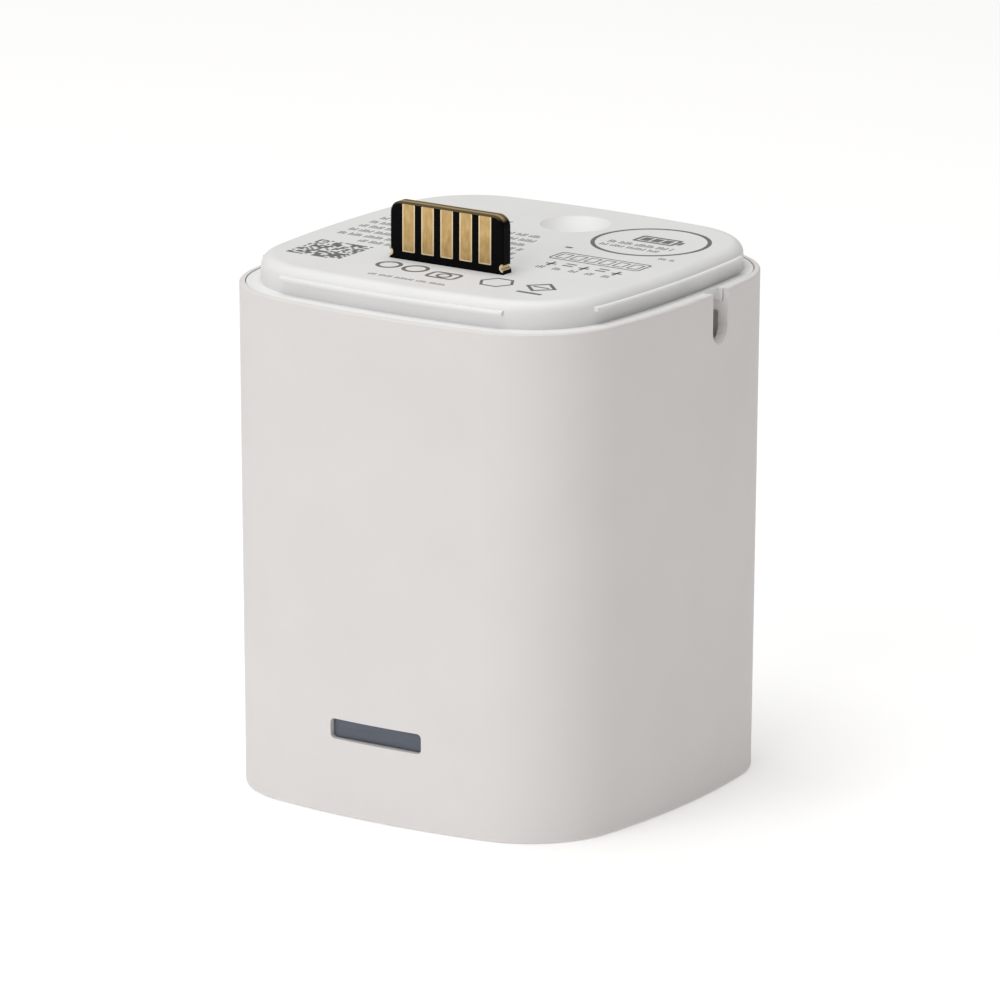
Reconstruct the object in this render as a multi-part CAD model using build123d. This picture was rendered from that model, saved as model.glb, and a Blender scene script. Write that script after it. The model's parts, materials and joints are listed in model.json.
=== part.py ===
"""Rechargeable battery pack for a wall-mounted wireless camera.

A drafted white cup holds four round lithium cells, two boards and their wiring.
A cover with a raised plateau closes it, and a five-pad contact blade stands up through the cover.
Millimetres, +Z up, origin at the centre of the flat base; the status window faces -Y.
"""

import os
from math import asin, degrees, sqrt

from build123d import *

# ---- overall size ----
WIDTH = 45.72
HEIGHT = 60.96
SHELL_HEIGHT = 52.4
PLATEAU_Z = 55.08

# ---- plan outlines: half width, crown radius of the four faces, corner radius ----
CUP_PLAN = (WIDTH / 2, 84.0, 11.0)
PLATEAU_PLAN = (20.7, 120.0, 9.4)
PLATEAU_Y = 0.42  # the plateau stands this far behind the middle
DRAFT_INSET = 0.47  # how much further in the cup's outline is at the base than at the rim

# ---- shell ----
WALL = 1.5
FLOOR = 1.5
LIP = 0.58  # thickness of the rim outside the cover's flange
LEDGE_Z = 51.0
BASE_FILLET = 0.35
RIM_FILLET = 0.25

RIB_THICKNESS = 1.0
BOARD_SIDE_GAP = 0.15
BOARD_RAIL_TOP_Z = 42.0
LOCATING_RIB_AT = 8.0
LOCATING_RIB_TOP_Z = 10.0

# ---- cover ----
SEAM_GAP = 0.1
SEAT_GAP = 0.02  # between the shell's ledge and the cover's flange
FLANGE_TOP_Z = SHELL_HEIGHT - 0.05
FLANGE_FILLET = 0.1
SKIRT_BOTTOM_Z = 48.4
SKIRT_WALL = 1.2
SKIRT_GAP = 0.1
PLATEAU_WALL = 1.3
PLATEAU_FILLET = 1.3
RIB_LENGTH = 26.7
RIB_Z0, RIB_Z1 = 53.7, 54.16
RIB_REACH = 0.42
RIB_FILLET = 0.3
DIMPLE_AT = (0.6, 12.9)
DIMPLE_RADIUS = 3.7
DIMPLE_DEPTH = 1.3
DIMPLE_BOSS = 0.8
BLADE_SLOT_GAP = 0.12
PIN_CLEARANCE = 0.4
PIN_CUT_BACK_Y = -18.0
PIN_CUT_TOP_Z = PLATEAU_Z - 1.6

# ---- latch slot in the right wall ----
LATCH_Y = 5.83
LATCH_WIDTH = 3.1
LATCH_BOTTOM_Z = 46.95
LATCH_BACK_X = 19.75
LATCH_BACK_FILLET = 0.5
LATCH_RAMP_Z = 48.6
LATCH_RAMP_TOP_X = 21.35
HOOK_WIDTH = 1.3  # how far the slot widens behind the wall, towards the back
HOOK_TOP_Z = 50.0
HOOK_WALL = 1.15  # thickness of the wall outside that wider part
POCKET_WALL = 0.75
POCKET_GAP = 0.15

# ---- status window in the front wall ----
WINDOW_Z = 9.1
WINDOW_WIDTH = 11.0
WINDOW_HEIGHT = 2.1
WINDOW_CORNER = 0.5
WINDOW_RECESS = 0.7
WINDOW_FLANGE = 1.0
WINDOW_FLANGE_DEPTH = 0.35
WINDOW_SEAT = 0.14  # how far the flat flange stands off the wall's crowned inner face
WINDOW_GAP = 0.04
WINDOW_EDGE = 0.12
GASKET_WALL = 0.9

# ---- cells ----
CELL_LENGTH = 49.2
CELL_Z = 2.05
CELL_OFFSET = 9.4  # each cell's axis from the centre lines
SLEEVE_RADIUS = 9.2
CAN_RADIUS = 9.1
CAN_WALL = 0.3
CAP_RADIUS = 6.2
NICKEL = 0.15
STRAP_WIDTH = 7.0
BRIDGE_Y0, BRIDGE_Y1 = 5.0, 11.0
WELD_SLIT_WIDTH, WELD_SLIT_LENGTH = 0.8, 6.4
TAB_WIDTH = 3.0
UPPER_TAB_X, LOWER_TAB_X = 8.0, -8.0
UPPER_TAB_LEG, LOWER_TAB_LEG = 5.4, 5.0
TAPE = 0.08
TAPE_Z0, TAPE_Z1 = 20.0, 32.0
TAPE_INSET = 0.2
HOLDER_HEIGHT = 6.0
UPPER_HOLDER_Z = 44.9
HOLDER_CLEARANCE = 0.05
HOLDER_HALF = 18.9

# ---- boards ----
BOARD_BACK_Y = -19.1
BOARD_THICKNESS = 0.8
MAIN_BOARD_WIDTH = 23.0
MAIN_BOARD_Z0, MAIN_BOARD_Z1 = 4.2, 48.2
INSULATOR = 0.25
BASE_BOARD_Z = CELL_Z + CELL_LENGTH + NICKEL + INSULATOR
BASE_BOARD_TOP_Z = BASE_BOARD_Z + BOARD_THICKNESS
BASE_BOARD_Y0, BASE_BOARD_Y1 = -18.0, 3.0
BASE_BOARD_WIDTH = 22.0
BOARD_CORNER = 0.8
BASE_BOARD_CORNER = 2.0
BOARD_HOLE_RADIUS = 0.6
CHIP_Z = 30.0
SWITCH_Z = 38.0
CHIP_BODY = 0.85
CHIP_BEVEL = 0.1
LEG_PITCH = 0.8
LEG_AT = 2.35
LED_AT = (-3.9, -1.3, 1.3, 3.9)

# ---- temperature sensor between the cells ----
BEAD_TOP_Z = 44.0
BEAD_RADIUS = 1.5
BEAD_LEAD_AT = 0.7
BEAD_LEAD_RADIUS = 0.18

# ---- contact blade ----
BLADE_X = 0.12
BLADE_WIDTH = 13.65
BLADE_THICKNESS = 1.5
BLADE_FRONT_Y = -9.96
BLADE_CORNER = 1.2
BLADE_BEVEL = 0.18
PAD_COUNT = 5
PAD_PITCH = 2.3
PAD_WIDTH = 1.5
PAD_SHIFT = 0.08  # of the middle finger from the blade's own middle
PAD_Z0, PAD_Z1 = 55.88, 60.78
PAD_CORNER = 0.1
PLATING = 0.05
HALF_HOLE_RADIUS = 0.26
HALF_HOLE_Z = 55.72
HALF_HOLE_LAP = 0.16
SEALANT_WIDTH = 1.2

# ---- bridge pins between the two boards ----
PIN_COUNT = 6
PIN_PITCH = 1.27
PIN = 0.4
PIN_LOW_Z = 45.6
PIN_NOTCH = 4.4
PIN_NOTCH_Y = -17.6
PIN_FOOT_Y = -17.2
PIN_BEND = 0.25

PARTS = "parts"
QUADRANTS = {
    "front_left": (-1, -1),
    "front_right": (1, -1),
    "back_left": (-1, 1),
    "back_right": (1, 1),
}


# ---------------------------------------------------------------- shared shapes
def corner_centre(outline):
    """Distance from each centre line to a corner arc's centre, tangent to both face arcs."""
    half, face_radius, corner_radius = outline
    reach = face_radius - half
    spread = (face_radius - corner_radius) ** 2
    return (sqrt(2 * spread - reach**2) - reach) / 2


def plan(inset, z, outline=CUP_PLAN):
    """An outline as a face, moved in by inset all round, at height z."""
    half, face_radius, corner_radius = outline
    corner = corner_centre(outline)
    half_sweep = degrees(asin(corner / (face_radius - corner_radius)))
    edges = []
    for side in range(4):
        turn = 90 * side
        face_at = Vector(half - face_radius, 0).rotate(Axis.Z, turn)
        corner_at = Vector(corner, corner).rotate(Axis.Z, turn)
        edges.append(CenterArc(face_at, face_radius - inset, turn - half_sweep, 2 * half_sweep))
        edges.append(CenterArc(corner_at, corner_radius - inset, turn + half_sweep, 90 - 2 * half_sweep))
    return Pos(0, 0, z) * make_face(edges)


def draft(z):
    """Extra inset at height z."""
    return DRAFT_INSET * (1 - z / SHELL_HEIGHT)


def drafted(inset, z0, z1):
    """A prism that follows the drafted outer wall at a constant inset."""
    return loft([plan(inset + draft(z0), z0), plan(inset + draft(z1), z1)], ruled=True)


def plateau_prism(inset, z0, z1):
    """An upright prism on the plateau's outline."""
    return Pos(0, PLATEAU_Y) * extrude(plan(inset, z0, PLATEAU_PLAN), z1 - z0)


def block(x0, x1, y0, y1, z0, z1):
    """A box between two corners."""
    return Pos((x0 + x1) / 2, (y0 + y1) / 2, (z0 + z1) / 2) * Box(x1 - x0, y1 - y0, z1 - z0)


def tube(outer, inner, z0, z1):
    """A round tube, or a disc where inner is 0."""
    body = Pos(0, 0, (z0 + z1) / 2) * Cylinder(outer, z1 - z0)
    return body - Pos(0, 0, (z0 + z1) / 2) * Cylinder(inner, z1 - z0 + 1) if inner else body


def rounded_plate(half, radius, z0, z1):
    return extrude(Pos(0, 0, z0) * RectangleRounded(2 * half, 2 * half, radius), z1 - z0)


def ring_of_edges(body, z):
    """The edges that lie at height z."""
    return body.edges().filter_by(lambda e: abs(e.bounding_box().min.Z - z) < 1e-4
                                  and abs(e.bounding_box().max.Z - z) < 1e-4)


# ---------------------------------------------------------------- casing
def latch_ramp():
    """The space above the slot's sloping back, which leads a latch in from the rim."""
    outline = Polyline((LATCH_BACK_X, LATCH_RAMP_Z), (LATCH_RAMP_TOP_X, SHELL_HEIGHT), (WIDTH, SHELL_HEIGHT),
                       (WIDTH, 0), (LATCH_BACK_X, 0), close=True)
    return extrude(Plane.XZ.offset(-LATCH_Y) * make_face(outline), LATCH_WIDTH, both=True)


def latch_channel():
    """The space of the latch slot: flat sides, a round lower end, open outward and upward."""
    radius = LATCH_WIDTH / 2
    low_z = LATCH_BOTTOM_Z + radius
    outside = WIDTH / 2 + 1
    middle = (LATCH_BACK_X + outside) / 2
    channel = Pos(middle, LATCH_Y, low_z) * Rot(0, 90, 0) * Cylinder(radius, outside - LATCH_BACK_X)
    channel += block(LATCH_BACK_X, outside, LATCH_Y - radius, LATCH_Y + radius, low_z, SHELL_HEIGHT + 1)
    channel = fillet(channel.faces().sort_by(Axis.X)[0].edges(), LATCH_BACK_FILLET)
    return channel & latch_ramp()


def window_profile(grow=0.0):
    """The window's rounded rectangle on the XZ plane, facing -Y."""
    size = (WINDOW_WIDTH + 2 * grow, WINDOW_HEIGHT + 2 * grow)
    return Plane.XZ * Pos(0, WINDOW_Z) * RectangleRounded(*size, WINDOW_CORNER + grow / 2)


def locating_ribs():
    """Upright ribs inside the shell: two beside the main board, and two on each other wall."""
    wall_mid = WIDTH / 2 - WALL / 2
    board_edge = MAIN_BOARD_WIDTH / 2 + BOARD_SIDE_GAP
    ribs = []
    for side in (-1, 1):
        at = side * (board_edge + RIB_THICKNESS / 2)
        ribs.append(block(at - RIB_THICKNESS / 2, at + RIB_THICKNESS / 2, -wall_mid, BOARD_BACK_Y,
                          FLOOR / 2, BOARD_RAIL_TOP_Z))
    for turn in (90, 180, 270):
        for at in (-LOCATING_RIB_AT, LOCATING_RIB_AT):
            rib = block(at - RIB_THICKNESS / 2, at + RIB_THICKNESS / 2, -wall_mid,
                        -HOLDER_HALF - HOLDER_CLEARANCE, FLOOR / 2, LOCATING_RIB_TOP_Z)
            ribs.append(Rot(0, 0, turn) * rib)
    inside = drafted(WALL / 2, FLOOR / 2, SHELL_HEIGHT)
    return [rib & inside for rib in ribs]


def latch_pocket():
    """The walls that close the latch slot off from the inside."""
    half = LATCH_WIDTH / 2 + POCKET_WALL
    box = block(LATCH_BACK_X - POCKET_WALL, WIDTH / 2 - WALL / 2, LATCH_Y - half, LATCH_Y + half + HOOK_WIDTH,
                LATCH_BOTTOM_Z - POCKET_WALL, LEDGE_Z)
    return box & drafted(LIP, 0, SHELL_HEIGHT)


def hook_space():
    """The wider part of the slot behind the wall, where a latch hook lies."""
    space = block(LATCH_BACK_X, WIDTH / 2, LATCH_Y, LATCH_Y + LATCH_WIDTH / 2 + HOOK_WIDTH, LATCH_BOTTOM_Z,
                  HOOK_TOP_Z)
    return space & drafted(HOOK_WALL, FLOOR, SHELL_HEIGHT)


def outer_shell():
    body = drafted(0, 0, SHELL_HEIGHT)
    body = fillet(ring_of_edges(body, 0), BASE_FILLET)
    body = fillet(ring_of_edges(body, SHELL_HEIGHT), RIM_FILLET)
    body -= drafted(WALL, FLOOR, SHELL_HEIGHT + 1)
    body -= drafted(LIP, LEDGE_Z, SHELL_HEIGHT + 1)
    body += latch_pocket()
    body -= hook_space()
    body -= latch_channel()
    body -= extrude(window_profile(), WIDTH)
    body = body.solids().sort_by(SortBy.VOLUME)[-1]
    return body + locating_ribs()


def cover_ribs():
    """One locking rib on each plateau wall: a crowned bar with a round upper edge."""
    band = plateau_prism(-RIB_REACH, RIB_Z0, RIB_Z1)
    band = fillet(ring_of_edges(band, RIB_Z1), RIB_FILLET)
    half = RIB_LENGTH / 2
    along = block(-half, half, -WIDTH / 2, WIDTH / 2, RIB_Z0, RIB_Z1)
    across = block(-WIDTH / 2, WIDTH / 2, PLATEAU_Y - half, PLATEAU_Y + half, RIB_Z0, RIB_Z1)
    return (band & (along + across)) - plateau_prism(PLATEAU_WALL / 2, RIB_Z0 - 1, RIB_Z1 + 1)


def cover_body():
    """The cover before its openings: flange, skirt, hollow plateau, ribs and finger dimple."""
    flange_low = LEDGE_Z + SEAT_GAP
    under_roof = PLATEAU_Z - PLATEAU_WALL
    flange = drafted(LIP + SEAM_GAP, flange_low, FLANGE_TOP_Z)
    flange = fillet(ring_of_edges(flange, FLANGE_TOP_Z), FLANGE_FILLET)
    plateau = plateau_prism(0, FLANGE_TOP_Z - FLOOR / 2, PLATEAU_Z)
    plateau = fillet(ring_of_edges(plateau, PLATEAU_Z), PLATEAU_FILLET)
    body = flange + plateau + cover_ribs() - plateau_prism(PLATEAU_WALL, LEDGE_Z - 1, under_roof)

    skirt_inset = WALL + SKIRT_GAP
    body += drafted(skirt_inset, SKIRT_BOTTOM_Z, flange_low) - drafted(
        skirt_inset + SKIRT_WALL, SKIRT_BOTTOM_Z, flange_low)

    body += Pos(*DIMPLE_AT) * tube(DIMPLE_RADIUS + DIMPLE_BOSS, 0, under_roof - DIMPLE_BOSS, under_roof)
    ball = (DIMPLE_RADIUS**2 + DIMPLE_DEPTH**2) / (2 * DIMPLE_DEPTH)
    return body - Pos(*DIMPLE_AT, PLATEAU_Z - DIMPLE_DEPTH + ball) * Sphere(ball)


def top_cover():
    body = cover_body()
    blade_y = BLADE_FRONT_Y + BLADE_THICKNESS / 2
    slot = Rectangle(BLADE_WIDTH + 2 * BLADE_SLOT_GAP, BLADE_THICKNESS + 2 * BLADE_SLOT_GAP)
    body -= extrude(Pos(BLADE_X, blade_y, PLATEAU_Z - 2) * slot, 4)
    body -= block(-PIN_COUNT * PIN_PITCH / 2 - PIN_CLEARANCE, UPPER_TAB_X + TAB_WIDTH / 2 + PIN_CLEARANCE,
                  BOARD_BACK_Y - PIN_CLEARANCE, PIN_CUT_BACK_Y, LEDGE_Z - 1, PIN_CUT_TOP_Z)

    half = LATCH_WIDTH / 2
    body -= block(LATCH_BACK_X, WIDTH / 2, LATCH_Y - half, LATCH_Y + half, LEDGE_Z, SHELL_HEIGHT) & latch_ramp()
    pocket_half = half + POCKET_WALL + POCKET_GAP
    body -= block(LATCH_BACK_X - POCKET_WALL - POCKET_GAP, WIDTH / 2, LATCH_Y - pocket_half,
                  LATCH_Y + pocket_half + HOOK_WIDTH, SKIRT_BOTTOM_Z - 1, LEDGE_Z + SEAT_GAP)
    return body.solids().sort_by(SortBy.VOLUME)[-1]


def status_window():
    """The smoked lens: a plug in the wall's slot with a flange behind the wall."""
    outside = WIDTH / 2 - draft(WINDOW_Z)
    inside = outside - WALL - WINDOW_SEAT
    plug = extrude(window_profile(-WINDOW_GAP), WIDTH) & block(
        -WIDTH, WIDTH, WINDOW_RECESS - outside, -inside, 0, SHELL_HEIGHT)
    plug = fillet(plug.edges().group_by(Axis.Y)[0], WINDOW_EDGE)
    flange = extrude(window_profile(WINDOW_FLANGE), WIDTH) & block(
        -WIDTH, WIDTH, -inside, WINDOW_FLANGE_DEPTH - inside, 0, SHELL_HEIGHT)
    wall = drafted(0, 0, SHELL_HEIGHT) - drafted(WALL, FLOOR, SHELL_HEIGHT)
    return plug + flange - (wall - extrude(window_profile(), WIDTH))


# ---------------------------------------------------------------- cells
def cell_can():
    """A drawn steel can with a beaded groove and a rolled rim."""
    top = CELL_LENGTH - 0.1
    groove_z = CELL_LENGTH - 4.2
    can = tube(CAN_RADIUS, 0, 0, top)
    can = fillet(ring_of_edges(can, 0), 0.6)
    can = fillet(ring_of_edges(can, top), 0.7)
    can -= Pos(0, 0, groove_z) * Torus(CAN_RADIUS + 0.15, 0.65)
    can -= tube(CAN_RADIUS - CAN_WALL, 0, CAN_WALL, groove_z - 1.1)
    can -= tube(CAN_RADIUS - 1.3, 0, groove_z - 1.3, groove_z + 1.2)
    can -= tube(CAN_RADIUS - CAN_WALL, 0, groove_z + 1.1, top - 0.7)
    return can - tube(CAP_RADIUS + 0.9, 0, top - 1, top + 1)


def cell_core():
    """The wound electrode roll: a tube round a small centre hole."""
    return tube(CAN_RADIUS - CAN_WALL - 0.05, 1.0, CAN_WALL + 0.3, CELL_LENGTH - 6.0)


def cell_cap():
    """The positive terminal disc, with its gasket flange under the rolled rim."""
    flange_z = CELL_LENGTH - 2.6
    return tube(CAN_RADIUS - CAN_WALL - 0.1, 0, flange_z, flange_z + 1.5) + tube(
        CAP_RADIUS, 0, flange_z + 1.5, CELL_LENGTH)


def cell_sleeve():
    """The shrink sleeve: a thin tube that turns in a little over the can's bottom edge."""
    sleeve = tube(SLEEVE_RADIUS, 0, 0, CELL_LENGTH - 0.9)
    sleeve = fillet(ring_of_edges(sleeve, 0), 0.65)
    core = tube(CAN_RADIUS, 0, 0, CELL_LENGTH)
    core = fillet(ring_of_edges(core, 0), 0.6)
    return sleeve - core


def cell_washer():
    """The insulating ring round the positive terminal."""
    return tube(CAN_RADIUS - 1.0, CAP_RADIUS + 0.15, CELL_LENGTH - 0.1, CELL_LENGTH)


def cell_holder(z0, notched):
    """A spacer frame with four round sockets, and a notch for the bridge pins on the upper one."""
    z1 = z0 + HOLDER_HEIGHT
    corner = HOLDER_HALF - CELL_OFFSET
    frame = rounded_plate(HOLDER_HALF, corner, z0, z1)
    socket = tube(SLEEVE_RADIUS + HOLDER_CLEARANCE, 0, z0, z1)
    for sx, sy in QUADRANTS.values():
        frame -= Pos(sx * CELL_OFFSET, sy * CELL_OFFSET, 0) * socket
    frame -= tube(2.2, 0, z0, z1)
    if notched:
        frame -= block(-PIN_NOTCH, PIN_NOTCH, -HOLDER_HALF - 1, PIN_NOTCH_Y, z0, z1)
    return frame


def nickel_plate(z0, tab_x, tab_face_y, leg_z0, leg_z1):
    """Two welded straps and their bridge, with a solder tab whose leg lies on a face of the main board."""
    z1 = z0 + NICKEL
    reach = CELL_OFFSET + STRAP_WIDTH / 2
    half_tab = TAB_WIDTH / 2
    plate = block(-CELL_OFFSET, CELL_OFFSET, BRIDGE_Y0, BRIDGE_Y1, z0, z1)
    for x in (-CELL_OFFSET, CELL_OFFSET):
        plate += block(x - STRAP_WIDTH / 2, x + STRAP_WIDTH / 2, -reach, reach, z0, z1)
    plate += block(tab_x - half_tab, tab_x + half_tab, tab_face_y, -reach, z0, z1)
    plate += block(tab_x - half_tab, tab_x + half_tab, tab_face_y, tab_face_y + NICKEL, leg_z0, leg_z1)
    for sx, sy in QUADRANTS.values():
        plate -= Pos(sx * CELL_OFFSET, sy * CELL_OFFSET, z0) * Box(WELD_SLIT_WIDTH, WELD_SLIT_LENGTH, 1)
    return plate


def upper_nickel_plate():
    z0 = CELL_Z + CELL_LENGTH
    return nickel_plate(z0, UPPER_TAB_X, BOARD_BACK_Y, z0 - UPPER_TAB_LEG, z0 + NICKEL)


def lower_nickel_plate():
    z0 = CELL_Z - NICKEL
    face_y = BOARD_BACK_Y - BOARD_THICKNESS - NICKEL
    return nickel_plate(z0, LOWER_TAB_X, face_y, z0, z0 + LOWER_TAB_LEG)


def pack_tape():
    """A band of tape round the four cells at mid height."""
    outer = HOLDER_HALF - TAPE_INSET
    inner = outer - TAPE
    band = rounded_plate(outer, outer - CELL_OFFSET, TAPE_Z0, TAPE_Z1)
    return band - rounded_plate(inner, inner - CELL_OFFSET, TAPE_Z0, TAPE_Z1)


def insulator_sheet():
    z0 = CELL_Z + CELL_LENGTH + NICKEL
    sheet = rounded_plate(18.4, 9.0, z0, z0 + INSULATOR)
    sheet -= block(-PIN_NOTCH, PIN_NOTCH, -HOLDER_HALF, PIN_NOTCH_Y, z0 - 1, z0 + 2)
    return sheet - tube(1.6, 0, z0 - 1, z0 + 2)


def bottom_foam():
    z0 = FLOOR
    foam = rounded_plate(17.8, 8.4, z0, CELL_Z - NICKEL)
    return foam - tube(4.0, 0, z0 - 1, z0 + 2)


def top_foam_pads():
    """Two foam blocks that hold the pack down under the plateau."""
    z0 = CELL_Z + CELL_LENGTH + NICKEL + INSULATOR
    z1 = PLATEAU_Z - PLATEAU_WALL
    pads = [block(x0, x0 + 8.5, 5.0, 15.0, z0, z1) for x0 in (-15.5, 7.0)]
    return pads


# ---------------------------------------------------------------- boards and their parts
def main_board():
    half = MAIN_BOARD_WIDTH / 2
    board = block(-half, half, BOARD_BACK_Y - BOARD_THICKNESS, BOARD_BACK_Y, MAIN_BOARD_Z0, MAIN_BOARD_Z1)
    board = fillet(board.edges().filter_by(Axis.Y), BOARD_CORNER)
    for x, z in ((-9.5, 15.0), (9.5, 15.0), (-9.5, 38.0), (9.5, 38.0)):
        board -= Pos(x, BOARD_BACK_Y, z) * Rot(90, 0, 0) * Cylinder(BOARD_HOLE_RADIUS, 4)
    return board


def on_board(x, z, width, height, thick):
    """A component body on the main board's front face, centred at x, z."""
    front = BOARD_BACK_Y - BOARD_THICKNESS
    return block(x - width / 2, x + width / 2, front - thick, front, z - height / 2, z + height / 2)


def chip_body(x, z, width, height):
    """A moulded chip body on the main board, with a bevelled front face."""
    body = on_board(x, z, width, height, CHIP_BODY)
    return chamfer(body.faces().sort_by(Axis.Y)[0].edges(), CHIP_BEVEL)


def protection_chip():
    return chip_body(0.0, CHIP_Z, 4.0, 3.6)


def power_switches():
    """Two power transistors, side by side."""
    return [chip_body(x, SWITCH_Z, 3.2, 3.2) for x in (-3.0, 3.0)]


def chip_legs():
    """Gull-wing legs of the protection chip, four on each side."""
    legs = []
    for side in (-1, 1):
        for row in range(4):
            legs.append(on_board(side * LEG_AT, CHIP_Z + (row - 1.5) * LEG_PITCH, 0.7, 0.3, 0.12))
    return legs


def fuse():
    body = on_board(6.5, 44.5, 4.4, 2.4, 0.7)
    return fillet(body.edges().filter_by(Axis.Y), 0.2)


def chip_resistors():
    spots = [(-7.0, 30.0), (-7.0, 27.5), (-7.0, 25.0), (7.0, 30.0), (7.0, 27.5)]
    spots += [(x, 24.0) for x in (-4.0, 0.0, 4.0)]
    return [on_board(x, z, 1.6, 0.8, 0.45) for x, z in spots]


def chip_capacitors():
    spots = [(-7.0, 34.0), (7.0, 34.0)]
    spots += [(x, 20.5) for x in (-6.0, -2.0, 2.0, 6.0)]
    return [on_board(x, z, 2.0, 1.25, 0.8) for x, z in spots]


def light_gasket():
    """A black foam frame that keeps the status lights' glow inside the window."""
    front = WINDOW_FLANGE_DEPTH + WINDOW_SEAT + WALL + draft(WINDOW_Z) - WIDTH / 2
    back = BOARD_BACK_Y - BOARD_THICKNESS
    half = WINDOW_WIDTH / 2
    tall = WINDOW_HEIGHT / 2
    frame = block(-half - GASKET_WALL, half + GASKET_WALL, front, back,
                  WINDOW_Z - tall - GASKET_WALL, WINDOW_Z + tall + GASKET_WALL)
    return frame - block(-half, half, front, back, WINDOW_Z - tall, WINDOW_Z + tall)


def status_leds():
    """Four light-emitting diodes in a row behind the window."""
    return [on_board(x, WINDOW_Z, 1.6, 0.8, 0.35) for x in LED_AT]


def base_board():
    half = BASE_BOARD_WIDTH / 2
    board = block(-half, half, BASE_BOARD_Y0, BASE_BOARD_Y1, BASE_BOARD_Z, BASE_BOARD_TOP_Z)
    board = fillet(board.edges().filter_by(Axis.Z), BASE_BOARD_CORNER)
    for x in (-BEAD_LEAD_AT, BEAD_LEAD_AT):
        board -= Pos(x, 0, BASE_BOARD_Z) * Cylinder(BEAD_LEAD_RADIUS + 0.02, 4)
    return board


def bridge_pins():
    """Bent pins soldered to the back of the main board and the top of the base board."""
    top = BASE_BOARD_TOP_Z + PIN
    pins = []
    for index in range(PIN_COUNT):
        x = (index - (PIN_COUNT - 1) / 2) * PIN_PITCH
        low_x, high_x = x - PIN / 2, x + PIN / 2
        upright = block(low_x, high_x, BOARD_BACK_Y, BOARD_BACK_Y + PIN, PIN_LOW_Z, top)
        foot = block(low_x, high_x, BOARD_BACK_Y, PIN_FOOT_Y, BASE_BOARD_TOP_Z, top)
        pin = upright + foot
        outer_corner = pin.edges().filter_by(Axis.X).sort_by(lambda e: e.center().Z - e.center().Y)[-1]
        pins.append(fillet(outer_corner, PIN_BEND))
    return pins


def thermistor_bead():
    """An epoxy-dipped temperature sensor between the four cells: a ball with a tapered neck."""
    ball = Pos(0, 0, BEAD_TOP_Z - 2.0) * Sphere(BEAD_RADIUS)
    return ball + Pos(0, 0, BEAD_TOP_Z - 0.8) * Cone(0.9 * BEAD_RADIUS, BEAD_LEAD_AT + 0.25, 1.6)


def thermistor_leads():
    lead = tube(BEAD_LEAD_RADIUS, 0, BEAD_TOP_Z, BASE_BOARD_TOP_Z + 0.3)
    return [Pos(x, 0, 0) * lead for x in (-BEAD_LEAD_AT, BEAD_LEAD_AT)]


def blade_outline():
    """The contact blade's outline on the XZ plane, with round upper corners and half holes near its foot."""
    middle_z = (BASE_BOARD_TOP_Z + HEIGHT) / 2
    face = Plane.XZ * Pos(0, middle_z) * Rectangle(BLADE_WIDTH, HEIGHT - BASE_BOARD_TOP_Z)
    face = fillet(face.vertices().group_by(Axis.Z)[-1], BLADE_CORNER)
    for side in (-1, 1):
        face -= Plane.XZ * Pos(side * BLADE_WIDTH / 2, HALF_HOLE_Z) * Circle(HALF_HOLE_RADIUS)
    return face


def contact_blade():
    blade = extrude(blade_outline(), BLADE_THICKNESS)
    flat_top = BLADE_WIDTH / 2
    top_edges = blade.edges().filter_by(lambda e: e.center().Z > HEIGHT - 0.01 and e.length > flat_top)
    return Pos(BLADE_X, BLADE_FRONT_Y + BLADE_THICKNESS, 0) * chamfer(top_edges, BLADE_BEVEL)


def contact_pads():
    """Five plated fingers on the blade's front face."""
    outline = Plane.XZ * Pos(0, (PAD_Z0 + PAD_Z1) / 2) * Rectangle(PAD_WIDTH, PAD_Z1 - PAD_Z0)
    pad = extrude(outline, PLATING)
    pad = fillet(pad.edges().filter_by(Axis.Y), PAD_CORNER)
    middle = (PAD_COUNT - 1) / 2
    first = BLADE_X + PAD_SHIFT - middle * PAD_PITCH
    return [Pos(first + index * PAD_PITCH, BLADE_FRONT_Y, 0) * pad for index in range(PAD_COUNT)]


def half_hole_plating():
    """Plating that lines each half hole and laps round it on the blade's front face."""
    half = BLADE_WIDTH / 2
    bore = HALF_HOLE_RADIUS - PLATING
    rings = []
    for side in (-1, 1):
        inside = Plane.XZ * Pos(side * half / 2, HALF_HOLE_Z) * Rectangle(half, 4)
        rim, lap, hole = (Plane.XZ * Pos(side * half, HALF_HOLE_Z) * Circle(radius)
                          for radius in (HALF_HOLE_RADIUS, HALF_HOLE_RADIUS + HALF_HOLE_LAP, bore))
        lining = Pos(0, BLADE_THICKNESS, 0) * extrude((rim - hole) & inside, BLADE_THICKNESS)
        collar = extrude((lap - hole) & inside, PLATING)
        rings.append(Pos(BLADE_X, BLADE_FRONT_Y, 0) * (lining + collar))
    return rings


def blade_sealant():
    """A bead of sealant round the blade under the plateau."""
    y = BLADE_FRONT_Y + BLADE_THICKNESS / 2
    z0, z1 = BASE_BOARD_TOP_Z, PLATEAU_Z - PLATEAU_WALL
    outer = RectangleRounded(BLADE_WIDTH + 2 * SEALANT_WIDTH, BLADE_THICKNESS + 2 * SEALANT_WIDTH,
                             SEALANT_WIDTH - 0.1)
    inner = Rectangle(BLADE_WIDTH, BLADE_THICKNESS)
    return extrude(Pos(BLADE_X, y, z0) * (outer - inner), z1 - z0)


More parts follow.
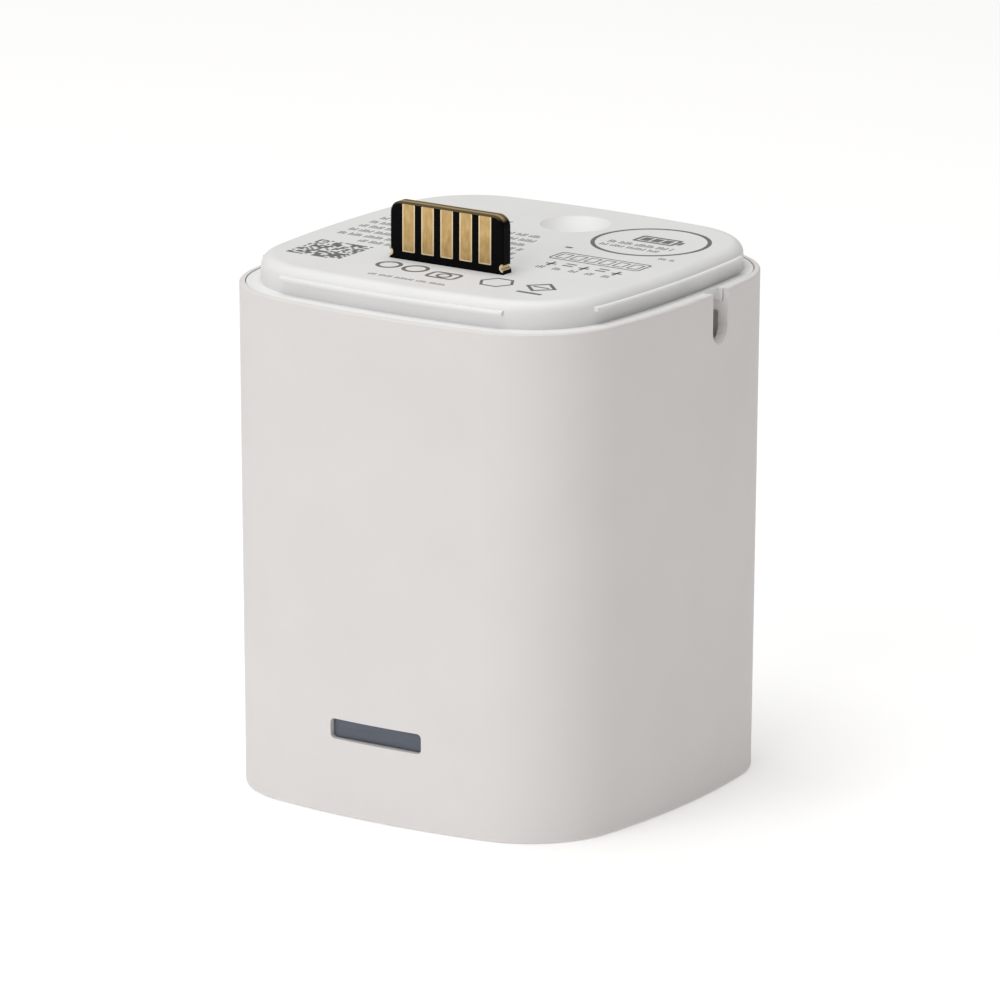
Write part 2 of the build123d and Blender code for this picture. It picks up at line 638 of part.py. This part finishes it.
# ---------------------------------------------------------------- assembly
def build_nodes():
    nodes = {
        "outer_shell": outer_shell(),
        "top_cover": top_cover(),
        "status_window": status_window(),
        "upper_cell_holder": cell_holder(UPPER_HOLDER_Z, True),
        "lower_cell_holder": cell_holder(CELL_Z, False),
        "upper_nickel_plate": upper_nickel_plate(),
        "lower_nickel_plate": lower_nickel_plate(),
        "pack_tape": pack_tape(),
        "insulator_sheet": insulator_sheet(),
        "bottom_foam_pad": bottom_foam(),
        "top_foam_pads": top_foam_pads(),
        "main_board": main_board(),
        "protection_chip": protection_chip(),
        "chip_legs": chip_legs(),
        "power_switches": power_switches(),
        "fuse": fuse(),
        "chip_resistors": chip_resistors(),
        "chip_capacitors": chip_capacitors(),
        "status_leds": status_leds(),
        "light_gasket": light_gasket(),
        "base_board": base_board(),
        "bridge_pins": bridge_pins(),
        "thermistor_bead": thermistor_bead(),
        "thermistor_leads": thermistor_leads(),
        "contact_blade": contact_blade(),
        "contact_pads": contact_pads(),
        "half_hole_plating": half_hole_plating(),
        "blade_sealant": blade_sealant(),
    }
    pieces = {"can": cell_can(), "core": cell_core(), "cap": cell_cap(), "sleeve": cell_sleeve(),
              "washer": cell_washer()}
    for quadrant, (sx, sy) in QUADRANTS.items():
        place = Pos(sx * CELL_OFFSET, sy * CELL_OFFSET, CELL_Z)
        for name, piece in pieces.items():
            nodes[f"cell_{name}_{quadrant}"] = place * piece
    return nodes


def main():
    os.makedirs(PARTS, exist_ok=True)
    for name, shape in build_nodes().items():
        solids = [s for item in (shape if isinstance(shape, list) else [shape]) for s in item.solids()]
        whole = solids[0] if len(solids) == 1 else Compound(children=solids)
        export_step(whole, os.path.join(PARTS, f"{name}.step"))


main()
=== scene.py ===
"""Looks of a small white rechargeable battery pack with a gold-finger contact blade.

Everything is in metres in the part's own frame: +Z up, the status window faces -Y.
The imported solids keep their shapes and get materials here; the printed marks on the cover are added.
"""

import json
import math
import random

import bmesh
import bpy
from mathutils import Matrix, Vector


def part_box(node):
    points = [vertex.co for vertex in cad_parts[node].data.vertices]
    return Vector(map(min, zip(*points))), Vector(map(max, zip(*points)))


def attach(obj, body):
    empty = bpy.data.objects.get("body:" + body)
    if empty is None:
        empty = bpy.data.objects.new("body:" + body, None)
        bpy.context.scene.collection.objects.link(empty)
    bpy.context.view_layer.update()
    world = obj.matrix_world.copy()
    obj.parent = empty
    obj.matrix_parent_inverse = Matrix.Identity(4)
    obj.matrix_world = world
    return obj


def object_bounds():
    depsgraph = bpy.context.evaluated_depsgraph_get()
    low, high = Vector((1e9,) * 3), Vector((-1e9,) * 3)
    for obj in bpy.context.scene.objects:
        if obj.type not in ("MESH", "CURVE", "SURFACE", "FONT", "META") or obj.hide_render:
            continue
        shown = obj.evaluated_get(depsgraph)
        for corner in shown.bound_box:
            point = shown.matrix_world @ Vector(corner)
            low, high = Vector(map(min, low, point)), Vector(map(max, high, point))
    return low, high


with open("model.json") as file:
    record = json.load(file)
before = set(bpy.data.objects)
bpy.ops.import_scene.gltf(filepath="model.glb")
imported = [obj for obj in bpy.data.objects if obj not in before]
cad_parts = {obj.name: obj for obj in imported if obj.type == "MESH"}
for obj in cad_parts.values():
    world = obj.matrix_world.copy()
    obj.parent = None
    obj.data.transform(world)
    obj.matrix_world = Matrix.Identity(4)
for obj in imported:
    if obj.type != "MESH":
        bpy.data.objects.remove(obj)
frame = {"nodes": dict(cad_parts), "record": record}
cad_low, cad_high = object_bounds()

MM = 0.001

# ---- camera ----
CAMERA_AZIMUTH = math.radians(33.808)
CAMERA_ELEVATION = math.radians(14.784)
CAMERA_ROLL = math.radians(0.152)
CAMERA_DISTANCE = 0.9347
CAMERA_AIM_HEIGHT = 0.0287
CAMERA_LENS = 331.4

# ---- light ----
WORLD_COLOUR = (1.0, 0.985, 0.93)
WORLD_STRENGTH = 0.22
FLOOR_COLOUR = (0.93, 0.93, 0.93)
FLOOR_GLOW = 0.24
FLOOR_RADIUS = 3.0

# ---- contact fingers ----
FINGER_COUNT = 5
FINGER_WIDTH = 1.5 * MM
# width of the pale band painted round each finger as a highlight
FINGER_HIGHLIGHT_WIDTH = 0.13 * MM

# ---- print: ink ----
INK_COLOUR = (0.17, 0.17, 0.175)
INK_SUNK = 0.006 * MM
INK_PROUD = 0.012 * MM

# ---- print: places and sizes on the cover's top, in millimetres ----
TICK = 0.15  # width of one upright tick in a row
TICK_PITCH = 0.32
CORNER_STEPS = 6

RING_AT = (11.4, 10.3)
RING_RADIUS = 6.15
RING_LINE = 0.44
PICTURE_LINE = 0.36
BAR_COUNT = 3  # charge bars in the battery picture
BAR_PITCH = 1.25

FRAME_BOX = (6.4, 17.2, -1.2, 1.8)
FRAME_LINE = 0.2
CELL_COUNT = 6
CELL_LINE = 0.16
SIGN_COUNT = 5
SIGN_PITCH = 1.95
SIGN_WIDTH = 1.2
SIGN_LINE = 0.3

DOTS_AT = (-16.8, -13.8)
DOTS_SIDE = 6.4
DOT_CELLS = 19
DOT_FILL = 0.92  # side of a dot as a share of its cell
DOT_SHARE = 0.6  # share of the cells that hold a dot
DOT_SEED = 4

ROW_COUNT = 9
ROW_PITCH = 1.9
ROW_FIRST_Y = -5.6
ROW_START = -17.2
ROW_FIRST_START = -13.4
ROW_END = 4.4
ROW_END_STEP = 0.6  # each row ends this much before the one in front of it
LONG_ROWS = 7
SHORT_ROW_END = -5.1

ICON_LINE = 0.42
ICON_CIRCLE_STEPS = 40


# ---------------------------------------------------------------- node helpers
def new_material(name, settings):
    """A material whose Principled shader has these plain settings."""
    material = bpy.data.materials.new(name)
    material.use_nodes = True
    shader = material.node_tree.nodes["Principled BSDF"]
    for socket, value in settings.items():
        shader.inputs[socket].default_value = value
    return material


def shader_of(material):
    return material.node_tree.nodes["Principled BSDF"]


def add_node(material, kind, settings=None, **links):
    """A new node with plain settings by socket name, and links by socket name (spaces as underscores)."""
    node = material.node_tree.nodes.new(kind)
    for key, value in (settings or {}).items():
        if key in node.inputs:
            node.inputs[key].default_value = value
        else:
            setattr(node, key, value)
    for key, output in links.items():
        material.node_tree.links.new(output, node.inputs[key.replace("_", " ")])
    return node


def object_coordinates(material, scale=(1, 1, 1)):
    """Object coordinates, stretched by scale."""
    place = add_node(material, "ShaderNodeTexCoord")
    stretched = add_node(material, "ShaderNodeMapping", {"Scale": scale}, Vector=place.outputs["Object"])
    return stretched.outputs["Vector"]


def noise(material, grain, detail=2.0, stretch=(1, 1, 1), roughness=0.5):
    """Noise whose blotches are about grain metres across."""
    vector = object_coordinates(material, stretch)
    settings = {"Scale": 1 / grain, "Detail": detail, "Roughness": roughness}
    return add_node(material, "ShaderNodeTexNoise", settings, Vector=vector).outputs["Fac"]


def ramp(material, factor, stops):
    """A colour ramp over factor, from (position, colour) stops."""
    node = add_node(material, "ShaderNodeValToRGB", Fac=factor)
    elements = node.color_ramp.elements
    while len(elements) < len(stops):
        elements.new(0.5)
    for element, (position, colour) in zip(elements, stops):
        element.position = position
        element.color = (*colour, 1)
    return node.outputs["Color"]


def value_range(material, factor, low, high):
    """factor from 0..1 mapped to low..high."""
    settings = {"To Min": low, "To Max": high}
    return add_node(material, "ShaderNodeMapRange", settings, Value=factor).outputs["Result"]


def mix(material, factor, first, second):
    """first where factor is 0, second where it is 1."""
    node = add_node(material, "ShaderNodeMix", {"data_type": "RGBA"})
    links = material.node_tree.links
    links.new(factor, node.inputs["Factor"])
    links.new(first, node.inputs["A"])
    links.new(second, node.inputs["B"])
    return node.outputs["Result"]


def link(material, socket, output):
    material.node_tree.links.new(output, shader_of(material).inputs[socket])


def bump(material, height, depth, strength=1.0):
    """Bump the surface by height times depth metres."""
    settings = {"Strength": strength, "Distance": depth}
    node = add_node(material, "ShaderNodeBump", settings, Height=height)
    link(material, "Normal", node.outputs["Normal"])


def shades(colour, spread):
    """A darker and a lighter shade of colour."""
    return tuple(c * (1 - spread) for c in colour), tuple(min(1, c * (1 + spread)) for c in colour)


# ---------------------------------------------------------------- materials
def moulded_plastic(name, colour, roughness, grain, depth, spread=0.015):
    """Moulded plastic: a fine spark-eroded texture over faint broad clouding."""
    material = new_material(name, {"Specular IOR Level": 0.4})
    darker, lighter = shades(colour, spread)
    cloud = noise(material, 9 * MM, detail=3)
    link(material, "Base Color", ramp(material, cloud, [(0.3, darker), (0.7, lighter)]))
    fine = noise(material, grain, detail=3, roughness=0.6)
    link(material, "Roughness", value_range(material, fine, roughness - 0.05, roughness + 0.05))
    bump(material, fine, depth)
    return material


def smoked_lens():
    """Smoked acrylic: dark blue-grey with a soft clear coat and faint flow streaks."""
    material = new_material("smoked_lens", {"Coat Weight": 0.2, "Coat Roughness": 0.15, "IOR": 1.49})
    streaks = noise(material, 1.2 * MM, detail=2, stretch=(0.25, 1, 2))
    colours = [(0.3, (0.070, 0.084, 0.116)), (0.7, (0.088, 0.104, 0.140))]
    link(material, "Base Color", ramp(material, streaks, colours))
    link(material, "Roughness", value_range(material, streaks, 0.28, 0.4))
    bump(material, streaks, 0.01 * MM, 0.4)
    return material


def blade_board():
    """Black solder mask on the faces, the same black painted on the side edges as shade, and glass-epoxy
    laminate in layers on the top edge.
    """
    material = new_material("blade_board", {"Specular IOR Level": 0.04})
    grain = noise(material, 0.35 * MM, detail=3)
    # black of the solder mask, also painted on the side edges as shade
    mask = ramp(material, grain, [(0.3, (0.0015, 0.0015, 0.002)), (0.75, (0.004, 0.004, 0.005))])

    layers = add_node(material, "ShaderNodeTexWave", {
        "wave_type": "BANDS", "bands_direction": "Y", "Scale": 0.35 / MM, "Distortion": 0.6,
        "Detail": 2.0, "Detail Scale": 1.0}, Vector=object_coordinates(material))
    resin_and_glass = [(0.15, (0.13, 0.10, 0.055)), (0.85, (0.40, 0.30, 0.155))]
    laminate = ramp(material, layers.outputs["Fac"], resin_and_glass)

    place = add_node(material, "ShaderNodeTexCoord")
    facing = add_node(material, "ShaderNodeSeparateXYZ", Vector=place.outputs["Normal"])
    # 1 on the top edge, which shows the laminate; 0 on the side edges, which take the black as painted shade
    top_laminate_not_side_shade = ramp(material, facing.outputs["Z"], [(0.45, (0, 0, 0)), (0.8, (1, 1, 1))])
    link(material, "Base Color", mix(material, top_laminate_not_side_shade, mask, laminate))
    link(material, "Roughness", value_range(material, grain, 0.42, 0.56))
    bump(material, grain, 0.006 * MM)
    return material


def plated(name, colour, grain, rough=(0.22, 0.38)):
    """Metal plating drawn along Z: colour varies in fine streaks and blotches."""
    material = new_material(name, {"Metallic": 1.0})
    streaks = noise(material, grain, detail=4, stretch=(4, 1, 0.35))
    darker, lighter = shades(colour, 0.14)
    link(material, "Base Color", ramp(material, streaks, [(0.3, darker), (0.7, lighter)]))
    link(material, "Roughness", value_range(material, streaks, *rough))
    bump(material, streaks, 0.004 * MM, 0.6)
    return material


def math_node(material, operation, first, second):
    """One math step; each operand is an output or a plain number."""
    node = add_node(material, "ShaderNodeMath", {"operation": operation})
    for socket, operand in zip(node.inputs, (first, second)):
        if isinstance(operand, (int, float)):
            socket.default_value = operand
        else:
            material.node_tree.links.new(operand, socket)
    return node.outputs[0]


def finger_highlight_band(material):
    """1 on the pale band painted as a highlight along the outer edge of each of the blade's fingers and on
    what lies below them, 0 inside.
    """
    low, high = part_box("contact_pads")
    pitch = (high.x - low.x - FINGER_WIDTH) / (FINGER_COUNT - 1)
    place = add_node(material, "ShaderNodeTexCoord")
    at = add_node(material, "ShaderNodeSeparateXYZ", Vector=place.outputs["Object"])
    along = math_node(material, "SUBTRACT", at.outputs["X"], low.x)
    within = math_node(material, "FLOORED_MODULO", along, pitch)
    off_centre = math_node(material, "ABSOLUTE", math_node(material, "SUBTRACT", within, FINGER_WIDTH / 2), 0)
    side = math_node(material, "GREATER_THAN", off_centre, FINGER_WIDTH / 2 - FINGER_HIGHLIGHT_WIDTH)
    foot = math_node(material, "LESS_THAN", at.outputs["Z"], low.z + FINGER_HIGHLIGHT_WIDTH)
    return math_node(material, "MAXIMUM", side, foot)


def finger_gold():
    """Hard gold over copper: streaked and darker in the middle of each finger, with a pale highlight painted
    round its outer edge.
    """
    material = new_material("gold_plating", {"Metallic": 1.0})
    streaks = noise(material, 0.5 * MM, detail=4, stretch=(5, 1, 0.3))
    wear = noise(material, 0.9 * MM, detail=3, stretch=(1.5, 1, 0.8))
    worn = math_node(material, "MULTIPLY", math_node(material, "ADD", streaks, wear), 0.5)
    golds = [(0.36, (0.46, 0.30, 0.115)), (0.5, (0.57, 0.385, 0.165)), (0.64, (0.66, 0.47, 0.225))]
    middle = ramp(material, worn, golds)
    # pale colour painted round each finger's edge and foot as a highlight
    rim_highlight = ramp(material, streaks, [(0.3, (0.80, 0.64, 0.38)), (0.7, (0.92, 0.78, 0.52))])
    link(material, "Base Color", mix(material, finger_highlight_band(material), middle, rim_highlight))
    link(material, "Roughness", value_range(material, streaks, 0.26, 0.42))
    bump(material, streaks, 0.004 * MM, 0.6)
    return material


def circuit_board():
    """Green solder mask with traces showing through as slightly lighter lanes."""
    material = new_material("green_board", {"Specular IOR Level": 0.5})
    cells = add_node(material, "ShaderNodeTexBrick", {"Scale": 0.12 / MM, "Mortar Size": 0.05},
                     Vector=object_coordinates(material))
    greens = {"Color1": (0.012, 0.110, 0.040), "Color2": (0.016, 0.135, 0.050),
              "Mortar": (0.035, 0.190, 0.075)}
    for socket, colour in greens.items():
        cells.inputs[socket].default_value = (*colour, 1)
    link(material, "Base Color", cells.outputs["Color"])
    grain = noise(material, 0.4 * MM)
    link(material, "Roughness", value_range(material, grain, 0.3, 0.42))
    bump(material, cells.outputs["Fac"], 0.02 * MM, 0.5)
    return material


def foam(name, colour):
    """Closed-cell foam: small pits all over."""
    material = new_material(name, {"Specular IOR Level": 0.25})
    cells = add_node(material, "ShaderNodeTexVoronoi", {"Scale": 2.2 / MM},
                     Vector=object_coordinates(material))
    pits = cells.outputs["Distance"]
    darker, lighter = shades(colour, 0.35)
    link(material, "Base Color", ramp(material, pits, [(0.1, darker), (0.8, lighter)]))
    link(material, "Roughness", value_range(material, pits, 0.8, 0.95))
    bump(material, pits, 0.05 * MM)
    return material


def film(name, colour, roughness=0.2):
    """Shrink film or tape: glossy, with long soft wrinkles."""
    material = new_material(name, {"Coat Weight": 0.4, "Coat Roughness": 0.1})
    wrinkles = noise(material, 2.5 * MM, detail=3, stretch=(1, 1, 0.3))
    darker, lighter = shades(colour, 0.08)
    link(material, "Base Color", ramp(material, wrinkles, [(0.35, darker), (0.65, lighter)]))
    link(material, "Roughness", value_range(material, wrinkles, roughness, roughness + 0.12))
    bump(material, wrinkles, 0.03 * MM, 0.5)
    return material


def fibre(name, colour):
    """Pressed card or insulating paper: short fibres."""
    material = new_material(name, {"Specular IOR Level": 0.2})
    fibres = noise(material, 0.5 * MM, detail=4, stretch=(3, 0.6, 1))
    darker, lighter = shades(colour, 0.1)
    link(material, "Base Color", ramp(material, fibres, [(0.35, darker), (0.65, lighter)]))
    link(material, "Roughness", value_range(material, fibres, 0.75, 0.9))
    bump(material, fibres, 0.01 * MM)
    return material


def printed_ink():
    """Grey pad-printed ink, thinner in places."""
    material = new_material("cover_print", {"Specular IOR Level": 0.3})
    blotches = noise(material, 0.5 * MM, detail=4)
    darker, lighter = shades(INK_COLOUR, 0.16)
    link(material, "Base Color", ramp(material, blotches, [(0.3, darker), (0.7, lighter)]))
    link(material, "Roughness", value_range(material, blotches, 0.5, 0.65))
    return material


def all_materials():
    """One material for each material slot of the record."""
    return {
        "shell_white": moulded_plastic("shell_white", (0.76, 0.733, 0.722), 0.56, 0.16 * MM, 0.004 * MM),
        "cover_white": moulded_plastic("cover_white", (0.83, 0.83, 0.83), 0.46, 0.2 * MM, 0.003 * MM),
        "smoked_lens": smoked_lens(),
        "blade_board": blade_board(),
        "gold_plating": finger_gold(),
        "green_board": circuit_board(),
        "sleeve_film": film("sleeve_film", (0.05, 0.17, 0.34)),
        "cell_steel": plated("cell_steel", (0.60, 0.60, 0.58), 1.0 * MM),
        "cell_roll": fibre("cell_roll", (0.10, 0.085, 0.075)),
        "washer_card": fibre("washer_card", (0.78, 0.76, 0.70)),
        "holder_plastic": moulded_plastic("holder_plastic", (0.020, 0.020, 0.022), 0.5, 0.3 * MM, 0.01 * MM,
                                          0.1),
        "nickel_strip": plated("nickel_strip", (0.64, 0.62, 0.58), 0.6 * MM),
        "tape_film": film("tape_film", (0.55, 0.25, 0.03)),
        "barley_paper": fibre("barley_paper", (0.10, 0.18, 0.14)),
        "foam": foam("foam", (0.020, 0.020, 0.021)),
        "chip_black": moulded_plastic("chip_black", (0.012, 0.012, 0.013), 0.45, 0.1 * MM, 0.004 * MM, 0.15),
        "tin_legs": plated("tin_legs", (0.70, 0.70, 0.68), 0.3 * MM),
        "ceramic_black": film("ceramic_black", (0.02, 0.02, 0.022), 0.3),
        "ceramic_tan": moulded_plastic("ceramic_tan", (0.40, 0.26, 0.14), 0.6, 0.1 * MM, 0.004 * MM, 0.08),
        "fuse_body": moulded_plastic("fuse_body", (0.62, 0.58, 0.46), 0.6, 0.1 * MM, 0.004 * MM, 0.05),
        "led_resin": film("led_resin", (0.80, 0.76, 0.52), 0.25),
        "bead_epoxy": film("bead_epoxy", (0.02, 0.018, 0.018), 0.25),
        "sealant": foam("sealant", (0.62, 0.62, 0.60)),
    }


def dress_nodes(materials):
    """Give every carried-over solid its slot's material."""
    for subpart in frame["record"]["subparts"]:
        node = frame["nodes"][subpart["node"]]
        slot = subpart["material_slot"]
        node.data.materials.clear()
        node.data.materials.append(materials[slot])


# ---------------------------------------------------------------- printed marks
class Print:
    """Ink shapes on the cover's flat top, gathered into one closed thin mesh. Sizes are in millimetres."""

    def __init__(self, name):
        self.name = name
        self.mesh = bmesh.new()
        self.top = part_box("top_cover")[1].z

    def prism(self, outline):
        """One closed prism from a convex or simple outline, given counter-clockwise."""
        low, high = self.top - INK_SUNK, self.top + INK_PROUD
        lower = [self.mesh.verts.new((x * MM, y * MM, low)) for x, y in outline]
        upper = [self.mesh.verts.new((x * MM, y * MM, high)) for x, y in outline]
        count = len(outline)
        self.mesh.faces.new(list(reversed(lower)))
        self.mesh.faces.new(upper)
        for i in range(count):
            j = (i + 1) % count
            self.mesh.faces.new((lower[i], lower[j], upper[j], upper[i]))

    def bar(self, x0, x1, y0, y1):
        """A filled rectangle."""
        self.prism([(x0, y0), (x1, y0), (x1, y1), (x0, y1)])

    def band(self, outer, inner):
        """A closed loop of line between two outlines with the same number of points."""
        low, high = self.top - INK_SUNK, self.top + INK_PROUD
        rows = [[self.mesh.verts.new((x * MM, y * MM, z)) for x, y in outline]
                for outline, z in ((outer, low), (outer, high), (inner, high), (inner, low))]
        count = len(outer)
        for row, following in zip(rows, rows[1:] + rows[:1]):
            for i in range(count):
                j = (i + 1) % count
                self.mesh.faces.new((row[i], row[j], following[j], following[i]))

    def ring(self, x, y, radius, line, count=72):
        """A circle drawn as a line, with count steps."""
        turns = [2 * math.pi * i / count for i in range(count)]
        circle = [(math.cos(t), math.sin(t)) for t in turns]
        self.band([(x + radius * c, y + radius * s) for c, s in circle],
                  [(x + (radius - line) * c, y + (radius - line) * s) for c, s in circle])

    def box_outline(self, x0, x1, y0, y1, line, corner):
        """A rounded rectangle drawn as a line."""
        self.band(rounded_corners(x0, x1, y0, y1, corner),
                  rounded_corners(x0 + line, x1 - line, y0 + line, y1 - line, max(corner - line, 0.01)))

    def polygon_outline(self, x, y, radius, sides, line):
        """A regular polygon drawn as a line, with a corner towards +x."""
        turns = [2 * math.pi * i / sides for i in range(sides)]
        inner_radius = radius - line / math.cos(math.pi / sides)
        self.band([(x + radius * math.cos(t), y + radius * math.sin(t)) for t in turns],
                  [(x + inner_radius * math.cos(t), y + inner_radius * math.sin(t)) for t in turns])

    def dashes(self, x0, x1, y, height, seed):
        """A row of upright ticks in groups, as even and plain as ruled lines."""
        x = x0
        step = 0
        while x < x1:
            group = 3 + (seed * 5 + step * 7) % 5
            for tick in range(group):
                if x > x1:
                    break
                tall = height * (1.0 if (tick + step + seed) % 3 else 0.72)
                self.bar(x, x + TICK, y - height / 2, y - height / 2 + tall)
                x += TICK_PITCH
            x += TICK_PITCH
            step += 1

    def finish(self, material):
        """Turn the gathered shapes into an object that rides with the pack."""
        bmesh.ops.recalc_face_normals(self.mesh, faces=self.mesh.faces)
        data = bpy.data.meshes.new(self.name)
        self.mesh.to_mesh(data)
        self.mesh.free()
        data.materials.append(material)
        piece = bpy.data.objects.new(self.name, data)
        bpy.context.scene.collection.objects.link(piece)
        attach(piece, "root")
        return piece


def rounded_corners(x0, x1, y0, y1, radius):
    """A rounded rectangle's outline, counter-clockwise."""
    outline = []
    for index, (x, y) in enumerate(((x1 - radius, y0 + radius), (x1 - radius, y1 - radius),
                                    (x0 + radius, y1 - radius), (x0 + radius, y0 + radius))):
        for step in range(CORNER_STEPS + 1):
            angle = math.radians(90 * (index - 1) + 90 * step / CORNER_STEPS)
            outline.append((x + radius * math.cos(angle), y + radius * math.sin(angle)))
    return outline


def ring_mark():
    """A large ring with a plain battery picture and two rows of ticks in it."""
    mark = Print("print_ring")
    x, y = RING_AT
    mark.ring(x, y, RING_RADIUS, RING_LINE)
    mark.box_outline(x - 2.2, x + 2.6, y - 0.3, y + 2.2, PICTURE_LINE, 0.3)
    mark.bar(x + 2.7, x + 3.15, y + 0.4, y + 1.5)
    for step in range(BAR_COUNT):
        mark.bar(x - 1.6 + BAR_PITCH * step, x - 0.6 + BAR_PITCH * step, y + 0.3, y + 1.6)
    mark.dashes(x - 3.9, x + 3.5, y - 1.7, 1.0, 1)
    mark.dashes(x - 4.0, x + 3.0, y - 3.2, 0.8, 2)
    return mark


def contact_picture():
    """A frame with six boxes, and plain plus, minus and equals signs below it."""
    mark = Print("print_contacts")
    x0, x1, y0, y1 = FRAME_BOX
    mark.box_outline(x0, x1, y0, y1, FRAME_LINE, 0.5)
    pitch = (x1 - x0 - 0.6) / CELL_COUNT
    for index in range(CELL_COUNT):
        left = x0 + 0.5 + pitch * index
        mark.box_outline(left, left + pitch - 0.42, y0 + 0.6, y1 - 0.6, CELL_LINE, 0.1)
    for index in range(SIGN_COUNT):
        x = x0 + 1.2 + SIGN_PITCH * index
        y = y0 - 2.1
        mark.bar(x, x + SIGN_WIDTH, y, y + SIGN_LINE)
        if index % 2:
            mark.bar(x, x + SIGN_WIDTH, y + 0.8, y + 0.8 + SIGN_LINE)
        else:
            mark.bar(x + 0.5 * (SIGN_WIDTH - SIGN_LINE), x + 0.5 * (SIGN_WIDTH + SIGN_LINE), y - 0.7, y + 1.0)
        mark.dashes(x, x + SIGN_WIDTH, y - 1.5, 0.9, index)
    return mark


def dot_matrix():
    """A plain grid of square dots, thinned out at random from a fixed seed."""
    mark = Print("print_dots")
    chance = random.Random(DOT_SEED)
    left, front = DOTS_AT
    pitch = DOTS_SIDE / DOT_CELLS
    for row in range(DOT_CELLS):
        for column in range(DOT_CELLS):
            if chance.random() < DOT_SHARE:
                x, y = left + column * pitch, front + row * pitch
                mark.bar(x, x + pitch * DOT_FILL, y, y + pitch * DOT_FILL)
    return mark


def ruled_rows():
    """Rows of plain ticks on the left half, behind and beside the blade."""
    mark = Print("print_rows")
    for row in range(ROW_COUNT):
        start = ROW_FIRST_START if row == 0 else ROW_START
        end = ROW_END - ROW_END_STEP * row if row < LONG_ROWS else SHORT_ROW_END
        mark.dashes(start, end, ROW_FIRST_Y + ROW_PITCH * row, 1.0, row)
    return mark


def front_icons():
    """A row of simple outline signs in front of the blade, with a row of small ticks below."""
    mark = Print("print_icons")
    mark.ring(-4.9, -12.7, 1.4, ICON_LINE, ICON_CIRCLE_STEPS)
    mark.ring(-1.7, -12.7, 1.45, ICON_LINE, ICON_CIRCLE_STEPS)
    mark.box_outline(0.5, 4.1, -14.8, -12.3, PICTURE_LINE, 0.7)
    mark.ring(2.3, -13.55, 0.85, 0.32, 32)
    mark.polygon_outline(8.25, -13.0, 1.95, 6, 0.3)
    mark.bar(11.9, 14.8, -15.15, -14.65)
    mark.polygon_outline(13.1, -12.3, 1.85, 4, PICTURE_LINE)
    mark.bar(12.2, 14.0, -12.45, -12.15)
    mark.dashes(-4.5, 4.9, -16.85, 0.6, 3)
    return mark


def small_marks():
    """A short bar and a short row of ticks beside the ring."""
    mark = Print("print_specks")
    mark.bar(5.4, 6.2, 3.5, 3.95)
    mark.dashes(16.0, 17.7, 4.7, 0.7, 4)
    return mark


# ---------------------------------------------------------------- stage
def pale_floor():
    """A wide plain floor with the faintest mottling, and a faint glow that keeps it pale."""
    mesh = bmesh.new()
    bmesh.ops.create_circle(mesh, cap_ends=True, radius=FLOOR_RADIUS, segments=96)
    data = bpy.data.meshes.new("floor")
    mesh.to_mesh(data)
    mesh.free()
    floor = bpy.data.objects.new("floor", data)
    floor.location.z = cad_low.z
    bpy.context.scene.collection.objects.link(floor)
    glow = {"Emission Color": (1, 1, 1, 1), "Emission Strength": FLOOR_GLOW}
    material = new_material("pale_floor", {"Roughness": 0.9, "Specular IOR Level": 0.1, **glow})
    cloud = noise(material, 0.4)
    darker, lighter = shades(FLOOR_COLOUR, 0.004)
    link(material, "Base Color", ramp(material, cloud, [(0.3, darker), (0.7, lighter)]))
    data.materials.append(material)


def soft_box(name, azimuth, elevation, distance, size, power, colour):
    """A square area light that faces the pack. Azimuth 0 is in front, positive to the right."""
    light = bpy.data.lights.new(name, "AREA")
    light.shape = "SQUARE"
    light.size = size
    light.energy = power
    light.color = colour
    lamp = bpy.data.objects.new(name, light)
    turn, lift = math.radians(azimuth), math.radians(elevation)
    away = Vector((math.sin(turn) * math.cos(lift), -math.cos(turn) * math.cos(lift), math.sin(lift)))
    aim = Vector((0, 0, cad_high.z / 2))
    lamp.location = aim + distance * away
    lamp.rotation_euler = (-away).to_track_quat("-Z", "Y").to_euler()
    bpy.context.scene.collection.objects.link(lamp)


def studio_light():
    """An even pale surround and two large soft boxes, one overhead and one in front."""
    world = bpy.data.worlds.new("studio")
    world.use_nodes = True
    background = world.node_tree.nodes["Background"]
    background.inputs["Color"].default_value = (*WORLD_COLOUR, 1)
    background.inputs["Strength"].default_value = WORLD_STRENGTH
    bpy.context.scene.world = world
    soft_box("overhead", azimuth=-65, elevation=84, distance=1.1, size=0.9, power=8.8, colour=(1.0, 1.0, 1.0))
    soft_box("front", azimuth=-5, elevation=28, distance=1.3, size=1.1, power=5.4, colour=(1.0, 0.985, 1.0))
    bpy.context.scene.view_settings.view_transform = "Standard"


def camera():
    """A long lens from the right and above, aimed at the pack's middle."""
    away = Vector((math.sin(CAMERA_AZIMUTH) * math.cos(CAMERA_ELEVATION),
                   -math.cos(CAMERA_AZIMUTH) * math.cos(CAMERA_ELEVATION),
                   math.sin(CAMERA_ELEVATION)))
    data = bpy.data.cameras.new("camera")
    data.lens = CAMERA_LENS
    data.sensor_width = 36
    data.clip_end = 10
    lens = bpy.data.objects.new("camera", data)
    facing = (-away).to_track_quat("-Z", "Y").to_matrix().to_4x4()
    roll = Matrix.Rotation(CAMERA_ROLL, 4, "Z")
    place = Vector((0, 0, CAMERA_AIM_HEIGHT)) + CAMERA_DISTANCE * away
    lens.matrix_world = Matrix.Translation(place) @ facing @ roll
    bpy.context.scene.collection.objects.link(lens)
    bpy.context.scene.camera = lens


# ---------------------------------------------------------------- scene
camera()
studio_light()
pale_floor()
dress_nodes(all_materials())
ink = printed_ink()
for mark in (ring_mark(), contact_picture(), dot_matrix(), ruled_rows(), front_icons(), small_marks()):
    mark.finish(ink)
